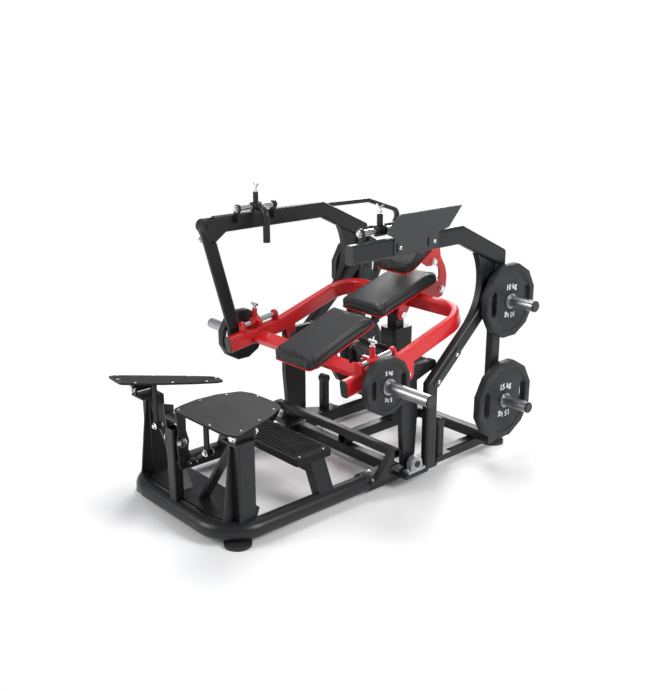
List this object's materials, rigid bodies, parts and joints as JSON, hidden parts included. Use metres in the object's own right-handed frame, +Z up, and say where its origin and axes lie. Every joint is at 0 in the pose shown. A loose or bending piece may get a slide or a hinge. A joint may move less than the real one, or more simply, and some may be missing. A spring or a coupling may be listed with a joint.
{
  "type": "leg press machine",
  "caption": "Plate-loaded leg press: the user lies on a red swinging carriage with black pads and pushes against two tilted foot plates, in a black tube frame with stored weight plates.",
  "frame": {"origin": "on the floor, under the middle of the machine", "axes": "+Y from the foot plates to the rear posts, +Z up, +X towards the side with the shield"},
  "size_m": [1.45, 1.8348, 1.2485],
  "materials": {
    "frame_black": "black powder coat, satin",
    "carriage_red": "red powder coat, glossy",
    "bright_pins": "bright chrome",
    "sleeve_steel": "brushed steel",
    "bearing_silver": "cast, matt silver",
    "pad_vinyl": "black vinyl, satin",
    "plate_rubber": "dark grey rubber coat",
    "foot_rubber": "black rubber",
    "cap_plastic": "black plastic",
    "tread_black": "black, coarse grip",
    "shield_grey": "dark grey powder coat"
  },
  "bodies": {
    "base": {"front_loop": "frame_black", "front_deck": "frame_black", "rear_rails": "frame_black", "splice_plates": "frame_black", "cross_tube": "frame_black", "low_cross_tube": "frame_black", "stop_posts": "frame_black", "cross_legs": "frame_black", "rear_cross_tube": "frame_black", "spine_tube": "frame_black", "link_pedestal": "frame_black", "levelling_feet": "foot_rubber", "step_plank": "tread_black", "step_legs": "frame_black", "foot_posts": "frame_black", "centre_mast": "frame_black", "stand_pins": "bright_pins", "rear_posts": "frame_black", "diagonals": "frame_black", "upper_beams": "frame_black", "gussets": "frame_black", "cover_strips": "shield_grey", "tube_caps": "cap_plastic", "storage_horns": "sleeve_steel", "storage_plates": "plate_rubber", "shield": "shield_grey", "hand_rail": "frame_black", "beam_rods": "bright_pins", "beam_ears": "frame_black", "lock_bracket": "frame_black", "lock_pin": "bright_pins", "pillow_blocks": "bearing_silver"},
    "levers": {"levers": "frame_black"},
    "carriage": {"red_arms": "carriage_red", "yoke_tube": "carriage_red", "carriage_caps": "cap_plastic", "arm_brackets": "carriage_red", "carriage_pins": "bright_pins", "belt_rods": "bright_pins", "pad_frame": "frame_black", "head_bracket": "carriage_red", "seat_pad": "pad_vinyl", "back_pad": "pad_vinyl", "head_pad": "pad_vinyl", "load_horns": "sleeve_steel", "small_plates": "plate_rubber"},
    "rear_link": {"rear_link": "frame_black"},
    "foot_plate_right": {"foot_plate_right": "tread_black"},
    "foot_plate_left": {"foot_plate_left": "tread_black"},
    "tie_rod_right": {"tie_rod_right": "frame_black"},
    "tie_rod_left": {"tie_rod_left": "frame_black"},
    "grip_right": {"grip_right": "frame_black"},
    "grip_left": {"grip_left": "frame_black"},
    "grip_knob_right": {"grip_knob_right": "bright_pins"},
    "grip_knob_left": {"grip_knob_left": "bright_pins"},
    "lock_arm": {"lock_arm": "frame_black"},
    "belt_clamp_right": {"belt_clamp_right": "carriage_red"},
    "belt_clamp_left": {"belt_clamp_left": "carriage_red"},
    "belt_knob_right": {"belt_knob_right": "bright_pins"},
    "belt_knob_left": {"belt_knob_left": "bright_pins"}
  },
  "joints": [
    {"name": "lever_swing", "type": "hinge", "parent": "base", "child": "levers", "pos_m": [0, 0.115, 0.116], "axis": [-1, 0, 0], "range_deg": [0, 24]},
    {"name": "carriage_swing", "type": "hinge", "parent": "levers", "child": "carriage", "pos_m": [0, 0.09755, 0.51562], "axis": [-1, 0, 0], "range_deg": [-24, 0]},
    {"name": "rear_link_swing", "type": "hinge", "parent": "base", "child": "rear_link", "pos_m": [0, 0.44745, 0.23638], "axis": [-1, 0, 0], "range_deg": [0, 24]},
    {"name": "foot_plate_right_tilt", "type": "hinge", "parent": "base", "child": "foot_plate_right", "pos_m": [0.352, -0.727, 0.462], "axis": [0, 1, 0], "range_deg": [-5, 5]},
    {"name": "tie_rod_right_swing", "type": "hinge", "parent": "foot_plate_right", "child": "tie_rod_right", "pos_m": [0.1804, -0.775, 0.3456], "axis": [0, 1, 0], "range_deg": [-12.5, 12.5]},
    {"name": "foot_plate_left_tilt", "type": "hinge", "parent": "base", "child": "foot_plate_left", "pos_m": [-0.352, -0.727, 0.462], "axis": [0, -1, 0], "range_deg": [-5, 5]},
    {"name": "tie_rod_left_swing", "type": "hinge", "parent": "foot_plate_left", "child": "tie_rod_left", "pos_m": [-0.1804, -0.775, 0.3456], "axis": [0, -1, 0], "range_deg": [-12.5, 12.5]},
    {"name": "grip_right_slide", "type": "slide", "parent": "base", "child": "grip_right", "axis": [0, 1, 0], "range_m": [-0.05, 0.07]},
    {"name": "grip_knob_right_turn", "type": "hinge", "parent": "grip_right", "child": "grip_knob_right", "pos_m": [0.393, -0.077, 1.19], "axis": [0, 0, 1], "continuous": true},
    {"name": "grip_left_slide", "type": "slide", "parent": "base", "child": "grip_left", "axis": [0, 1, 0], "range_m": [-0.05, 0.07]},
    {"name": "grip_knob_left_turn", "type": "hinge", "parent": "grip_left", "child": "grip_knob_left", "pos_m": [-0.393, -0.077, 1.19], "axis": [0, 0, 1], "continuous": true},
    {"name": "belt_clamp_right_slide", "type": "slide", "parent": "carriage", "child": "belt_clamp_right", "axis": [0, 0.9907, 0.136], "range_m": [-0.04, 0.08]},
    {"name": "belt_knob_right_turn", "type": "hinge", "parent": "belt_clamp_right", "child": "belt_knob_right", "pos_m": [0.388, -0.1028, 0.6554], "axis": [0, 0, 1], "continuous": true},
    {"name": "belt_clamp_left_slide", "type": "slide", "parent": "carriage", "child": "belt_clamp_left", "axis": [0, 0.9907, 0.136], "range_m": [-0.04, 0.08]},
    {"name": "belt_knob_left_turn", "type": "hinge", "parent": "belt_clamp_left", "child": "belt_knob_left", "pos_m": [-0.388, -0.1028, 0.6554], "axis": [0, 0, 1], "continuous": true},
    {"name": "lock_arm_swing", "type": "hinge", "parent": "base", "child": "lock_arm", "pos_m": [-0.435, -0.326, 1.08], "axis": [-1, 0, 0], "range_deg": [0, 60]}
  ],
  "couplings": [
    {"joint": "carriage_swing", "follows": "lever_swing", "ratio": -1},
    {"joint": "rear_link_swing", "follows": "lever_swing", "ratio": 1},
    {"joint": "tie_rod_right_swing", "follows": "foot_plate_right_tilt", "ratio": -2.5},
    {"joint": "tie_rod_left_swing", "follows": "foot_plate_left_tilt", "ratio": -2.5}
  ]
}
